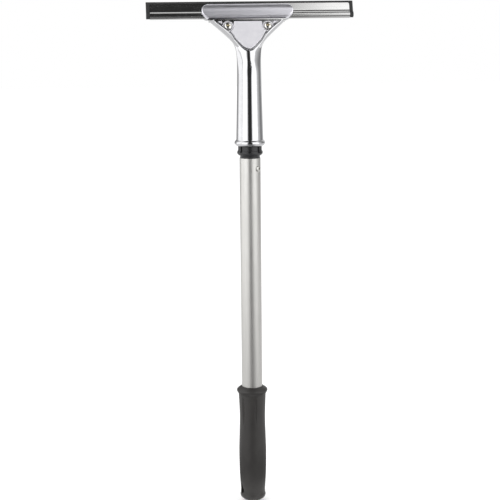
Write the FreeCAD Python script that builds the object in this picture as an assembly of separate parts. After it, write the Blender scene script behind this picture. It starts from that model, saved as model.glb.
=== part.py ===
import FreeCAD, Part
import math
import os

# A window cleaning squeegee on a short pole, one solid per physical piece.
#
# Lengths are in millimetres. +Z runs up the pole, -Y faces the side with the clamp screws,
# and +X runs along the blade to the right as seen from that side. The origin is on the
# pole's axis, where the hand closes round the grip, 7 mm below the grip's middle.
#
# The head leans back from the pole. Its pieces are drawn in a head frame of their own:
# X along the blade, Z up the blade's plane ("rise"), Y backwards ("depth", negative in
# front), with its zero at the underside of the channel. lean() puts them on the pole.

Vector = FreeCAD.Vector
X_AXIS, Y_AXIS, Z_AXIS = Vector(1, 0, 0), Vector(0, 1, 0), Vector(0, 0, 1)

# ---- pole -------------------------------------------------------------------------------
TUBE_R = 12.7               # 1 inch aluminium tube
TUBE_WALL = 1.0
TUBE_BOTTOM = -34.4         # lower end, inside the grip
TUBE_TOP = 368.6            # upper end, against the adapter's shoulder

# ---- hand grip --------------------------------------------------------------------------
GRIP_TOP = 83.0
GRIP_TIP = -69.0
GRIP_BORE_R = TUBE_R + 0.05
COLLAR_R = 19.05            # flared collar at the grip's top
COLLAR_HEIGHT = 9.6
# radius of the hand hold at heights going down: shoulder, waist, belly, wrist stop
GRIP_BODY = [(16.9, 72.4), (16.4, 62.8), (15.8, 42.6), (16.45, 18.5),
             (17.0, -2.6), (16.6, -28.6), (15.7, -44.9), (15.2, -51.7)]
FLUTE_COUNT = 6
FLUTE_AZIMUTH = 10.0        # degrees from the front, towards +X
FLUTE_TOP, FLUTE_BOTTOM = 71.0, 33.9
FLUTE_R = 1.7               # fattest radius of the spindle that cuts a flute
HANG_AZIMUTH = -72.0        # direction of the hanging hole
HANG_R = 4.1                # round foot of the tear-drop hole
HANG_Z = -52.3              # centre of the round foot
HANG_PEAK = 9.4             # from that centre up to the point

# ---- cone adapter -----------------------------------------------------------------------
NECK_R, NECK_TOP = 12.0, 371.2
BULGE_R, BULGE_Z = 15.5, 374.8
RING_R, RING_TOP = 14.4, 383.0
NOTCH_COUNT = 8
NOTCH_WIDTH, NOTCH_DEPTH, NOTCH_HEIGHT = 3.0, 2.6, 7.4
NOTCH_AZIMUTH = -7.0
CONE_BASE_R, CONE_TIP_R, CONE_TIP_Z = 13.0, 9.6, 459.0
CONE_NOSE_R = 2.0
SPIGOT_BOTTOM = 308.6
SPIGOT_R = TUBE_R - TUBE_WALL - 0.05
SPIGOT_CORE_R, CONE_CORE_R = 8.7, 6.8
CONE_CORE_TOP = 451.0

# ---- blind rivet through tube and spigot ------------------------------------------------
RIVET_Z, RIVET_AZIMUTH = 356.0, 43.0
RIVET_R, RIVET_HEAD_R, RIVET_HEAD_H = 2.4, 3.75, 1.8
RIVET_HOLE_R = RIVET_R + 0.05
RIVET_BULB_R, RIVET_BULB_END = 3.3, 5.0
MANDREL_R, MANDREL_HEAD_R, MANDREL_HEAD_END = 1.3, 2.2, 3.0

# ---- handle casting ---------------------------------------------------------------------
MOUTH_Z = RING_TOP + 0.2    # small gap over the adapter's ring
BEAD_R, BEAD_Z, BEAD_ARC_R = 18.55, 387.0, 3.75
STEM_FOOT, STEM_FOOT_R, STEM_TAPER = 385.0, 16.47, 0.0252    # the stem starts inside the bead
SOCKET_GAP = 0.08
SOCKET_TOP = 461.0

# ---- lean of the head -------------------------------------------------------------------
LEAN = 20.0                 # degrees, blade edge backwards
BEND_Z = 495.0              # height on the pole's axis where the lean starts
REACH = 41.6                # from the bend up to the underside of the channel
HEAD_BASE = Vector(0, REACH * math.sin(math.radians(LEAN)),
                   BEND_Z + REACH * math.cos(math.radians(LEAN)))

# ---- channel and rubber (head frame) ----------------------------------------------------
CHANNEL_LENGTH, RUBBER_LENGTH = 241.0, 250.0
CHANNEL_OFFSET = 4.2        # both stand this far to the right in the jaws
SHEET = 0.6                 # stainless strip
POCKET_R = 3.7              # inside of the bead pocket
SLOT_HALF = 1.3             # half of the gap between the two flat walls
CHANNEL_TOP = 18.6
CORNER_R = 2.0              # rounded upper corners of the front and rear walls
SLIDE_GAP = 0.1
LIP_TOP = 21.4
CLIP_LENGTH, CLIP_INSET, CLIP_SHEET = 14.0, 2.0, 0.45

# ---- yoke and clamp plate (head frame) --------------------------------------------------
# The stem runs on as the neck, whose middle line bends through the lean on one arc. Its half
# width follows a slow taper plus a flare; its depths ease from the round stem to the thin yoke.
BEND_R = 130.0
STATIONS = 31
WAIST_PINCH, WAIST_Z = 0.33, 486.0
FLARE_Z, FLARE_SLOPE, FLARE_SOFT = 505.0, 1.19, 7.1
YOKE_FRONT, FRONT_FROM, FRONT_TO = 6.9, 464.0, 505.0
YOKE_BACK, BACK_FROM, BACK_TO = 7.6, 466.0, 524.0
YOKE_TOP = -0.2             # rise at which the arms end
# outline of the shield from its point up to its upper corner: half width, rise
SHIELD_SIDE = [(6.9, -36.4), (15.7, -27.3), (20.6, -19.7), (27.0, -13.2), (39.0, -3.9)]
SHIELD_POINT = -39.9
SHIELD_GAP = 0.6
SHIELD_TOP = -1.0
SHIELD_BACK, SHIELD_FLOOR, SHIELD_FACE = 0.9, 3.0, 4.6    # depths in front of the mid-plane
PAD_TOP = -4.2              # the raised satin pad stops under the bar
PAD_INSET = 0.5
RECESS_FLOOR = 0.5
POCKET_CUT_R = 7.0          # U-shaped pockets round the screw heads
JAW_LENGTH, JAW_BOTTOM, JAW_TOP = 110.0, -0.5, 16.5
JAW_FACE = 9.0              # crown of the front jaw
JAW_EDGE = 5.2              # its depth at the upper and lower edge
BAR_TOP, BAR_BOTTOM, BAR_FACE, BAR_HALF = -1.0, -2.7, 5.6, 46.5
REAR_JAW_BACK = 7.6
REAR_BRIDGE_HALF, REAR_BRIDGE_TOP = 46.0, 4.0
RELIEF_SIDE = [(5.0, -29.5), (11.0, -22.0), (16.0, -14.5), (20.0, -8.0)]
RELIEF_POINT, RELIEF_TOP, RELIEF_DEPTH, BOSS_R = -32.5, -4.5, 3.6, 6.0

# ---- clamp screws (head frame) ----------------------------------------------------------
SCREW_X, SCREW_RISE = 24.0, -10.2
SCREW_R, SCREW_HEAD_R, SCREW_HEAD_H, SCREW_HEAD_RIM = 2.5, 4.7, 3.0, 0.9
SCREW_TIP = -6.6
WASHER_IN_R, WASHER_OUT_R, WASHER_T, WASHER_SPLIT = 2.7, 5.1, 0.8, 1.0
CROSS_SPAN, CROSS_WIDTH, CROSS_DEPTH = 5.4, 1.5, 1.9


def direction(azimuth):
    """Unit vector at an azimuth in degrees, 0 at the front (-Y), growing towards +X."""
    turn = math.radians(azimuth)
    return Vector(math.sin(turn), -math.cos(turn), 0)


def polyline(points):
    """Straight edges through the points, in order."""
    return [Part.makeLine(a, b) for a, b in zip(points, points[1:])]


def arc(start, middle, end):
    return Part.Arc(start, middle, end).toShape()


def spline(points):
    curve = Part.BSplineCurve()
    curve.interpolate(points)
    return curve.toShape()


def profile(radius, height):
    """Point of a turned outline, in the XZ plane."""
    return Vector(radius, 0, height)


def turned(edges):
    """Solid of revolution about Z from the edges of a closed outline in the XZ plane."""
    face = Part.Face(Part.Wire(edges))
    return face.revolve(Vector(0, 0, 0), Z_AXIS, 360)


def prism_x(face, length, centre=0.0):
    """A face in the YZ plane, drawn out along X."""
    solid = face.extrude(X_AXIS * length)
    solid.translate(X_AXIS * (centre - length / 2))
    return solid


def circle_x(radius, rise):
    """Disc in the YZ plane of the head frame."""
    return Part.Face(Part.Wire(Part.makeCircle(radius, Vector(0, 0, rise), X_AXIS)))


def slab(width, front, back, bottom, top, centre=0.0):
    """Box in the head frame; front and back are depths in front of the mid-plane."""
    return Part.makeBox(width, front - back, top - bottom,
                        Vector(centre - width / 2, -front, bottom))


def raised(wire, back, front):
    """A closed wire in the head's mid-plane, drawn forward between two depths."""
    solid = Part.Face(wire).extrude(Y_AXIS * (back - front))
    solid.translate(Y_AXIS * -back)
    return solid


def lean(shape):
    """Head frame to the squeegee's frame."""
    placed = shape.copy()
    placed.rotate(Vector(0, 0, 0), X_AXIS, -LEAN)
    placed.translate(HEAD_BASE)
    return placed


def save(shape, name):
    solid = shape.removeSplitter()
    assert solid.isValid(), name
    solid.exportStep("parts/" + name + ".step")
    print(f"{name:20s} {len(solid.Solids)} solid  {solid.Volume / 1000:8.2f} cm3")


# ---- pole pieces ------------------------------------------------------------------------

def rivet_hole():
    return Part.makeCylinder(RIVET_HOLE_R, TUBE_R * 2, Vector(0, 0, RIVET_Z),
                             direction(RIVET_AZIMUTH))


def pole_tube():
    length = TUBE_TOP - TUBE_BOTTOM
    base = Vector(0, 0, TUBE_BOTTOM)
    outside = Part.makeCylinder(TUBE_R, length, base)
    inside = Part.makeCylinder(TUBE_R - TUBE_WALL, length, base)
    return outside.cut(inside).cut(rivet_hole())


def cone_adapter():
    """Turned body, hollow, with notches round its ring and a long cone above it."""
    outline = polyline([profile(SPIGOT_CORE_R, SPIGOT_BOTTOM), profile(SPIGOT_R - 0.6, SPIGOT_BOTTOM),
                        profile(SPIGOT_R, SPIGOT_BOTTOM + 2), profile(SPIGOT_R, TUBE_TOP),
                        profile(NECK_R, TUBE_TOP), profile(NECK_R, NECK_TOP)])
    outline.append(arc(profile(NECK_R, NECK_TOP), profile(BULGE_R - 0.6, BULGE_Z - 1.9),
                       profile(BULGE_R, BULGE_Z)))
    outline.append(arc(profile(BULGE_R, BULGE_Z), profile(BULGE_R - 0.3, BULGE_Z + 1.8),
                       profile(RING_R, BULGE_Z + 3.2)))
    nose = CONE_TIP_Z - CONE_NOSE_R
    outline += polyline([profile(RING_R, BULGE_Z + 3.2), profile(RING_R, RING_TOP),
                         profile(CONE_BASE_R, RING_TOP), profile(CONE_TIP_R, nose)])
    outline.append(arc(profile(CONE_TIP_R, nose), profile(CONE_TIP_R - 0.6, CONE_TIP_Z - 0.6),
                       profile(CONE_TIP_R - CONE_NOSE_R, CONE_TIP_Z)))
    outline += polyline([profile(CONE_TIP_R - CONE_NOSE_R, CONE_TIP_Z), profile(0, CONE_TIP_Z),
                         profile(0, CONE_CORE_TOP), profile(CONE_CORE_R, CONE_CORE_TOP),
                         profile(CONE_CORE_R, NECK_TOP), profile(SPIGOT_CORE_R, NECK_TOP - 2),
                         profile(SPIGOT_CORE_R, SPIGOT_BOTTOM)])
    body = turned(outline)
    floor = RING_TOP - NOTCH_HEIGHT + NOTCH_WIDTH / 2
    for i in range(NOTCH_COUNT):
        azimuth = NOTCH_AZIMUTH + i * 360 / NOTCH_COUNT
        out = direction(azimuth)
        round_end = Part.makeCylinder(NOTCH_WIDTH / 2, 10, out * (BULGE_R - NOTCH_DEPTH) + Z_AXIS * floor,
                                      out)
        slot = Part.makeBox(NOTCH_WIDTH, 10, RING_TOP - floor + 1,
                            Vector(-NOTCH_WIDTH / 2, -BULGE_R + NOTCH_DEPTH - 10, floor))
        slot.rotate(Vector(0, 0, 0), Z_AXIS, azimuth)
        body = body.cut(round_end.fuse(slot))
    return body.cut(rivet_hole())


def rivet_body():
    """Dome head, shank and the bulb that forms on the blind side, bored for the mandrel."""
    head_top = TUBE_R + RIVET_HEAD_H
    outline = polyline([profile(MANDREL_R, RIVET_BULB_END), profile(RIVET_BULB_R - 0.8, RIVET_BULB_END)])
    bulb_top = SPIGOT_CORE_R - 0.4
    outline.append(arc(profile(RIVET_BULB_R - 0.8, RIVET_BULB_END),
                       profile(RIVET_BULB_R, (RIVET_BULB_END + bulb_top) / 2),
                       profile(RIVET_R, bulb_top)))
    outline += polyline([profile(RIVET_R, bulb_top), profile(RIVET_R, TUBE_R),
                         profile(RIVET_HEAD_R, TUBE_R), profile(RIVET_HEAD_R, TUBE_R + 0.3)])
    outline.append(arc(profile(RIVET_HEAD_R, TUBE_R + 0.3), profile(2.9, TUBE_R + 1.25),
                       profile(MANDREL_R, head_top)))
    outline += polyline([profile(MANDREL_R, head_top), profile(MANDREL_R, RIVET_BULB_END)])
    return aim_rivet(turned(outline))


def rivet_mandrel():
    """Broken-off mandrel left in the rivet, with its round head at the blind end."""
    stem = Part.makeCylinder(MANDREL_R, TUBE_R + RIVET_HEAD_H - 0.5 - RIVET_BULB_END,
                             Vector(0, 0, RIVET_BULB_END))
    head = Part.makeCylinder(MANDREL_HEAD_R, RIVET_BULB_END - MANDREL_HEAD_END,
                             Vector(0, 0, MANDREL_HEAD_END))
    return aim_rivet(stem.fuse(head.makeFillet(0.7, head.Edges)))


def aim_rivet(shape):
    """Turns a piece drawn up Z to point out of the tube at the rivet's place."""
    shape.rotate(Vector(0, 0, 0), X_AXIS, 90)
    shape.rotate(Vector(0, 0, 0), Z_AXIS, RIVET_AZIMUTH)
    shape.translate(Z_AXIS * RIVET_Z)
    return shape


def hand_grip():
    side = [profile(r, z) for r, z in GRIP_BODY]
    collar_foot = GRIP_TOP - COLLAR_HEIGHT
    outline = polyline([profile(GRIP_BORE_R, TUBE_BOTTOM - 0.2), profile(GRIP_BORE_R, GRIP_TOP),
                        profile(GRIP_BORE_R + 0.5, GRIP_TOP), profile(COLLAR_R - 1.1, GRIP_TOP - 3.2)])
    outline.append(arc(profile(COLLAR_R - 1.1, GRIP_TOP - 3.2), profile(COLLAR_R, GRIP_TOP - 5.0),
                       profile(COLLAR_R - 0.9, GRIP_TOP - 7.6)))
    outline += polyline([profile(COLLAR_R - 0.9, GRIP_TOP - 7.6), profile(17.2, collar_foot),
                         profile(16.5, collar_foot - 0.6), side[0]])
    outline.append(spline(side))
    end_flare = profile(15.95, -58.4)
    outline.append(arc(side[-1], profile(15.4, -55.5), end_flare))
    outline.append(arc(end_flare, profile(15.4, -60.9), profile(14.0, -62.6)))
    outline.append(spline([profile(14.0, -62.6), profile(7.6, -66.9), profile(0, GRIP_TIP)]))
    outline += polyline([profile(0, GRIP_TIP), profile(0, TUBE_BOTTOM - 0.2),
                         profile(GRIP_BORE_R, TUBE_BOTTOM - 0.2)])
    body = turned(outline)
    for i in range(FLUTE_COUNT):
        body = body.cut(flute(FLUTE_AZIMUTH + i * 360 / FLUTE_COUNT))
    return body.cut(hang_hole())


def flute(azimuth):
    """Slender spindle standing on the hand hold's surface, its seam facing outwards."""
    middle = (FLUTE_TOP + FLUTE_BOTTOM) / 2
    top, bottom = profile(0, FLUTE_TOP), profile(0, FLUTE_BOTTOM)
    spindle = turned([spline([bottom, profile(FLUTE_R, middle), top]), Part.makeLine(top, bottom)])
    spindle.rotate(Vector(0, 0, 0), Z_AXIS, azimuth - 90)
    spindle.translate(direction(azimuth) * (GRIP_BODY[1][0] + 0.1))
    return spindle


def hang_hole():
    """Tear-drop prism right through the grip."""
    tangent = math.acos(HANG_R / HANG_PEAK)
    shoulder = [Vector(side * HANG_R * math.sin(tangent), 0, HANG_R * math.cos(tangent))
                for side in (-1, 1)]
    peak, foot = Vector(0, 0, HANG_PEAK), Vector(0, 0, -HANG_R)
    wire = Part.Wire([arc(shoulder[0], foot, shoulder[1]), Part.makeLine(shoulder[1], peak),
                      Part.makeLine(peak, shoulder[0])])
    prism = Part.Face(wire).extrude(Y_AXIS * 50)
    prism.translate(Vector(0, -25, HANG_Z))
    prism.rotate(Vector(0, 0, 0), Z_AXIS, HANG_AZIMUTH)
    return prism


# ---- channel and rubber -----------------------------------------------------------------

def keyhole(bead_r, half_width, bead_rise, top):
    """Round bead with a flat blade standing on it, as a face in the YZ plane."""
    join = bead_rise + math.sqrt(bead_r ** 2 - half_width ** 2)
    front, back = Vector(0, -half_width, join), Vector(0, half_width, join)
    front_top, back_top = Vector(0, -half_width, top), Vector(0, half_width, top)
    bead = arc(front, Vector(0, 0, bead_rise - bead_r), back)
    return Part.Face(Part.Wire([bead] + polyline([back, back_top, front_top, front])))


POCKET_RISE = POCKET_R + SHEET


def channel():
    """Folded strip: two flat walls over a round pocket, with rounded upper corners."""
    outside = prism_x(keyhole(POCKET_R + SHEET, SLOT_HALF + SHEET, POCKET_RISE, CHANNEL_TOP),
                      CHANNEL_LENGTH, CHANNEL_OFFSET)
    inside = prism_x(keyhole(POCKET_R, SLOT_HALF, POCKET_RISE, CHANNEL_TOP + 1),
                     CHANNEL_LENGTH + 2, CHANNEL_OFFSET)
    body = outside.cut(inside)
    for side in (-1, 1):
        corner = CHANNEL_OFFSET + side * (CHANNEL_LENGTH / 2 - CORNER_R)
        block = slab(CORNER_R, 3, -3, CHANNEL_TOP - CORNER_R, CHANNEL_TOP + 1,
                     corner + side * CORNER_R / 2)
        rounding = Part.makeCylinder(CORNER_R, 6, Vector(corner, -3, CHANNEL_TOP - CORNER_R), Y_AXIS)
        body = body.cut(block.cut(rounding))
    return lean(body)


RUBBER_BEAD_R = POCKET_R - SLIDE_GAP
CLIP_OUT_R = RUBBER_BEAD_R - 0.05
CLIP_IN_R = CLIP_OUT_R - CLIP_SHEET
CLIP_CENTRES = [CHANNEL_OFFSET + side * (CHANNEL_LENGTH / 2 - CLIP_INSET - CLIP_LENGTH / 2)
                for side in (-1, 1)]


def clip_ring(outer_r, centre):
    """Saddle round the rubber's bead, open upwards where the blade leaves it."""
    ring = prism_x(circle_x(outer_r, POCKET_RISE), CLIP_LENGTH, centre)
    ring = ring.cut(prism_x(circle_x(CLIP_IN_R, POCKET_RISE), CLIP_LENGTH, centre))
    return ring.cut(slab(CLIP_LENGTH + 2, 2.2, -2.2, POCKET_RISE, CHANNEL_TOP, centre))


def rubber_blade():
    body = prism_x(keyhole(RUBBER_BEAD_R, SLOT_HALF - SLIDE_GAP, POCKET_RISE, LIP_TOP),
                   RUBBER_LENGTH, CHANNEL_OFFSET)
    for centre in CLIP_CENTRES:
        body = body.cut(clip_ring(RUBBER_BEAD_R + 0.5, centre))
    return lean(body)


# ---- handle casting and clamp plate -----------------------------------------------------

def stadium(half_width, front, back):
    """Closed wire of two straight sides and two round ends, in the XY plane."""
    radius, middle = (front + back) / 2, (back - front) / 2
    flat = max(half_width - radius, 0.02)
    corners = [Vector(-flat, -front, 0), Vector(flat, -front, 0),
               Vector(flat, back, 0), Vector(-flat, back, 0)]
    return Part.Wire([Part.makeLine(corners[0], corners[1]),
                      arc(corners[1], Vector(flat + radius, middle, 0), corners[2]),
                      Part.makeLine(corners[2], corners[3]),
                      arc(corners[3], Vector(-flat - radius, middle, 0), corners[0])])


def ease(value, start, end):
    """0 before the start, 1 after the end, smooth in between."""
    part = min(max((value - start) / (end - start), 0.0), 1.0)
    return part * part * (3 - 2 * part)


def spine(length):
    """Point on the stem's and neck's middle line, this far up from the stem's foot, and its tilt."""
    lean_angle = math.radians(LEAN)
    bend_foot = BEND_Z - BEND_R * math.tan(lean_angle / 2) - STEM_FOOT
    tilt = min(max((length - bend_foot) / BEND_R, 0.0), lean_angle)
    straight = min(length, bend_foot)
    beyond = max(length - bend_foot - BEND_R * lean_angle, 0.0)
    return (Vector(0, BEND_R * (1 - math.cos(tilt)) + beyond * math.sin(tilt),
                   STEM_FOOT + straight + BEND_R * math.sin(tilt) + beyond * math.cos(tilt)), tilt)


def yoke():
    """Loft along the middle line, from the round stem into the wide flat arms."""
    lean_angle = math.radians(LEAN)
    saved = BEND_R * (2 * math.tan(lean_angle / 2) - lean_angle)
    total = BEND_Z - STEM_FOOT + REACH + YOKE_TOP - saved
    sections = []
    for i in range(STATIONS):
        spot, tilt = spine(total * i / (STATIONS - 1))
        beyond = spot.z - FLARE_Z
        waist = STEM_FOOT_R - STEM_TAPER * (min(spot.z, WAIST_Z) - STEM_FOOT) - WAIST_PINCH
        half_width = waist + FLARE_SLOPE / 2 * (beyond + math.hypot(beyond, FLARE_SOFT))
        round_r = STEM_FOOT_R - STEM_TAPER * (spot.z - STEM_FOOT)
        front = round_r + (YOKE_FRONT - round_r) * ease(spot.z, FRONT_FROM, FRONT_TO)
        back = round_r + (YOKE_BACK - round_r) * ease(spot.z, BACK_FROM, BACK_TO)
        wire = stadium(half_width, front, back)
        wire.rotate(Vector(0, 0, 0), X_AXIS, -math.degrees(tilt))
        wire.translate(spot)
        sections.append(wire)
    return Part.makeLoft(sections, True, False)


def bead():
    """Rounded ring at the stem's mouth."""
    ring_r = BEAD_R - BEAD_ARC_R
    low, high = profile(ring_r, BEAD_Z - BEAD_ARC_R), profile(ring_r, BEAD_Z + BEAD_ARC_R)
    outline = polyline([high, profile(0, high.z), profile(0, MOUTH_Z), profile(ring_r, MOUTH_Z), low])
    outline.append(arc(low, profile(BEAD_R, BEAD_Z), high))
    return turned(outline)


def socket():
    """Tapered hole that follows the adapter's cone."""
    slope = (CONE_BASE_R - CONE_TIP_R) / (CONE_TIP_Z - CONE_NOSE_R - RING_TOP)
    low = RING_TOP - 2
    wide, narrow = (CONE_BASE_R + SOCKET_GAP - slope * (z - RING_TOP) for z in (low, SOCKET_TOP))
    return Part.makeCone(wide, narrow, SOCKET_TOP - low, Vector(0, 0, low))


def shield_wire(side, point, top, grow=0.0):
    """One smooth line from the left upper corner round the point to the right one, grown
    outwards by a margin and closed by a straight top edge."""
    half = [Vector(0, 0, point)] + [Vector(x, 0, z) for x, z in side]
    run = [Vector(-p.x, 0, p.z) for p in half[:0:-1]] + half
    line = []
    for before, here, after in zip([run[0]] + run, run, run[1:] + [run[-1]]):
        along = (after - before).normalize()
        line.append(here + Vector(along.z, 0, -along.x) * grow)
    corner = Vector(line[-1].x + (top - line[-1].z) * 1.1, 0, top)
    opposite = Vector(-corner.x, 0, corner.z)
    return Part.Wire([spline(line)] + polyline([line[-1], corner, opposite, line[0]]))


def screw_bar(radius, front, back, side):
    """Cylinder on a screw's axis between two depths."""
    return Part.makeCylinder(radius, front - back, Vector(side * SCREW_X, -front, SCREW_RISE), Y_AXIS)


def pill(length, bottom, top, front, back):
    """Plate with full round ends, standing in the head's plane."""
    radius = (top - bottom) / 2
    middle = (top + bottom) / 2
    body = slab(length - 2 * radius, front, back, bottom, top)
    for side in (-1, 1):
        spot = Vector(side * (length / 2 - radius), -front, middle)
        body = body.fuse(Part.makeCylinder(radius, front - back, spot, Y_AXIS))
    return body.removeSplitter()


def channel_room():
    """Space that the channel needs between the jaws."""
    return prism_x(keyhole(POCKET_R + SHEET + 0.15, SLOT_HALF + SHEET + SLIDE_GAP, POCKET_RISE,
                           LIP_TOP + 5), CHANNEL_LENGTH)


def handle_casting():
    wall = SLOT_HALF + SHEET + SLIDE_GAP
    rear_jaw = pill(JAW_LENGTH, 0.0, JAW_TOP - 1, -wall, -REAR_JAW_BACK)
    bridge = slab(REAR_BRIDGE_HALF * 2, -wall, -REAR_JAW_BACK, -2, REAR_BRIDGE_TOP)
    casting = bead().fuse(yoke()).fuse(lean(rear_jaw.fuse(bridge))).cut(socket())
    recess = raised(shield_wire(SHIELD_SIDE, SHIELD_POINT, SHIELD_TOP, SHIELD_GAP), RECESS_FLOOR, 20)
    front_seat = slab(JAW_LENGTH + 10, 20, RECESS_FLOOR, BAR_BOTTOM - 0.4, 10)
    relief = raised(shield_wire(RELIEF_SIDE, RELIEF_POINT, RELIEF_TOP), -20,
                    RELIEF_DEPTH - REAR_JAW_BACK)
    for side in (-1, 1):
        relief = relief.cut(screw_bar(BOSS_R, 0, -20, side))
    for cutter in (recess, front_seat, relief, channel_room()):
        casting = casting.cut(lean(cutter))
    for side in (-1, 1):
        casting = casting.cut(lean(screw_bar(SCREW_R + 0.05, 20, -20, side)))
        casting = casting.cut(lean(screw_bar(WASHER_OUT_R + 0.5, 20, RECESS_FLOOR, side)))
    return casting


def front_jaw():
    """Pill-shaped jaw with a crowned face, hollowed for the channel behind it."""
    rise = (JAW_TOP - JAW_BOTTOM) / 2
    crown_h = JAW_FACE - JAW_EDGE
    crown_r = (rise ** 2 + crown_h ** 2) / (2 * crown_h)
    crown = prism_x(circle_x(crown_r, (JAW_TOP + JAW_BOTTOM) / 2), JAW_LENGTH)
    crown.translate(Y_AXIS * (crown_r - JAW_FACE))
    plate = pill(JAW_LENGTH, JAW_BOTTOM, JAW_TOP, JAW_FACE + 1, SHIELD_BACK)
    return plate.common(crown)


def clamp_plate():
    plate = raised(shield_wire(SHIELD_SIDE, SHIELD_POINT, SHIELD_TOP), SHIELD_BACK, SHIELD_FLOOR)
    pad = raised(shield_wire(SHIELD_SIDE, SHIELD_POINT, SHIELD_TOP, -PAD_INSET), SHIELD_FLOOR - 0.5,
                 SHIELD_FACE)
    pad = pad.cut(slab(JAW_LENGTH, 20, 0, PAD_TOP, 10))
    for side in (-1, 1):
        pad = pad.cut(screw_bar(POCKET_CUT_R, 20, SHIELD_FLOOR, side))
        pad = pad.cut(slab(POCKET_CUT_R * 2, 20, SHIELD_FLOOR, SCREW_RISE, 10, side * SCREW_X))
    bar = slab(BAR_HALF * 2, BAR_FACE, SHIELD_BACK, BAR_BOTTOM, BAR_TOP)
    web = slab(JAW_LENGTH - 22, JAW_EDGE - 0.4, SHIELD_BACK, BAR_TOP - 0.2, JAW_BOTTOM + 1)
    body = plate.fuse(pad).fuse(bar).fuse(web).fuse(front_jaw())
    body = body.cut(channel_room())
    for side in (-1, 1):
        body = body.cut(screw_bar(SCREW_R + 0.3, 20, -20, side))
    return lean(body)


# ---- clamp screws -----------------------------------------------------------------------

def place_screw(shape, side):
    """Turns a piece drawn up Z to stand out of the plate on a screw's axis."""
    shape.rotate(Vector(0, 0, 0), X_AXIS, 90)
    shape.translate(Vector(side * SCREW_X, 0, SCREW_RISE))
    return lean(shape)


def clamp_screw(side):
    seat = SHIELD_FLOOR + WASHER_T
    top = seat + SCREW_HEAD_H
    rim = seat + SCREW_HEAD_RIM
    outline = polyline([profile(0, SCREW_TIP), profile(SCREW_R - 0.8, SCREW_TIP),
                        profile(SCREW_R, SCREW_TIP + 0.8), profile(SCREW_R, seat),
                        profile(SCREW_HEAD_R, seat), profile(SCREW_HEAD_R, rim)])
    outline.append(arc(profile(SCREW_HEAD_R, rim), profile(SCREW_HEAD_R * 0.72, top - 0.55),
                       profile(0, top)))
    outline += polyline([profile(0, top), profile(0, SCREW_TIP)])
    body = turned(outline)
    for angle in (0, 90):
        bar = Part.makeBox(CROSS_SPAN, CROSS_WIDTH, CROSS_DEPTH + 1,
                           Vector(-CROSS_SPAN / 2, -CROSS_WIDTH / 2, top - CROSS_DEPTH))
        bar.rotate(Vector(0, 0, 0), Z_AXIS, angle)
        body = body.cut(bar)
    return place_screw(body, side)


def lock_washer(side):
    """Split spring washer under the screw's head."""
    ring = Part.makeCylinder(WASHER_OUT_R, WASHER_T, Vector(0, 0, SHIELD_FLOOR))
    ring = ring.cut(Part.makeCylinder(WASHER_IN_R, WASHER_T, Vector(0, 0, SHIELD_FLOOR)))
    split = Part.makeBox(WASHER_OUT_R + 1, WASHER_SPLIT, WASHER_T + 2,
                         Vector(0, -WASHER_SPLIT / 2, SHIELD_FLOOR - 1))
    split.rotate(Vector(0, 0, 0), Z_AXIS, 35)
    return place_screw(ring.cut(split), side)


os.makedirs("parts", exist_ok=True)
save(pole_tube(), "pole_tube")
save(cone_adapter(), "cone_adapter")
save(rivet_body(), "rivet_body")
save(rivet_mandrel(), "rivet_mandrel")
save(hand_grip(), "hand_grip")
save(handle_casting(), "handle_casting")
save(clamp_plate(), "clamp_plate")
save(channel(), "channel")
save(rubber_blade(), "rubber_blade")
for side, word in ((-1, "left"), (1, "right")):
    save(clamp_screw(side), "clamp_screw_" + word)
    save(lock_washer(side), "lock_washer_" + word)
for centre, word in zip(CLIP_CENTRES, ("left", "right")):
    save(lean(clip_ring(CLIP_OUT_R, centre)), "rubber_clip_" + word)
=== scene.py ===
# %% [markdown]
# # A window squeegee on a short pole
# The real object is a rubber blade in a folded stainless channel, gripped by a chromed
# two-piece head. The head sits on a plastic cone at the top of an aluminium tube, and the
# tube ends in a moulded grip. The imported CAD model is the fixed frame: it says where every
# piece is. Here each piece gets a finer surface and its real finish.

# %% The fixed frame
import math
import bpy
import bmesh
import numpy as np
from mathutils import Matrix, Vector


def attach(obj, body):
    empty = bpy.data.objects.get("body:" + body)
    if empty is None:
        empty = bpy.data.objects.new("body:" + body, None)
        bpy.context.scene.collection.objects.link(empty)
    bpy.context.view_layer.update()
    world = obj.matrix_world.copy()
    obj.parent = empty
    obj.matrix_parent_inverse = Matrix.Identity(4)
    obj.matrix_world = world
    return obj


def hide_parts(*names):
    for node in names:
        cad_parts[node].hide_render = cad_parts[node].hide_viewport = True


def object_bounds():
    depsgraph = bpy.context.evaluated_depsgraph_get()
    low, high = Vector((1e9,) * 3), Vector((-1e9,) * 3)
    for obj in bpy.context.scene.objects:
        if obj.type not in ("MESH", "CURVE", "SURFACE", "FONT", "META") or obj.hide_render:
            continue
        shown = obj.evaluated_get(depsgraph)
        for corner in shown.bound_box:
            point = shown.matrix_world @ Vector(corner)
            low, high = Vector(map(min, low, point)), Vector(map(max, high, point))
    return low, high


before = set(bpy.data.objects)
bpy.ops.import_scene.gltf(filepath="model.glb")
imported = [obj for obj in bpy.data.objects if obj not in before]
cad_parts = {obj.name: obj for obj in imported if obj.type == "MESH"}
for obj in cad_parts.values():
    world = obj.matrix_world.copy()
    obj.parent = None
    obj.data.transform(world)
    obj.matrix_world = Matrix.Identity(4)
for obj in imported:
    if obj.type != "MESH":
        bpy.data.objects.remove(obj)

CAD_BOX = [list(corner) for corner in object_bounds()]
MM = 0.001

# %% [markdown]
# ## Surfaces as grids
# Nearly every piece is a grid of points with two parameters: one runs round a section, the
# other along a path. Numpy works out the whole grid at once, and one helper turns it into a
# mesh. Blender's own primitives would give the same cylinder, but no control over where the
# points lie, and a polished surface shows every uneven step.

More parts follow.
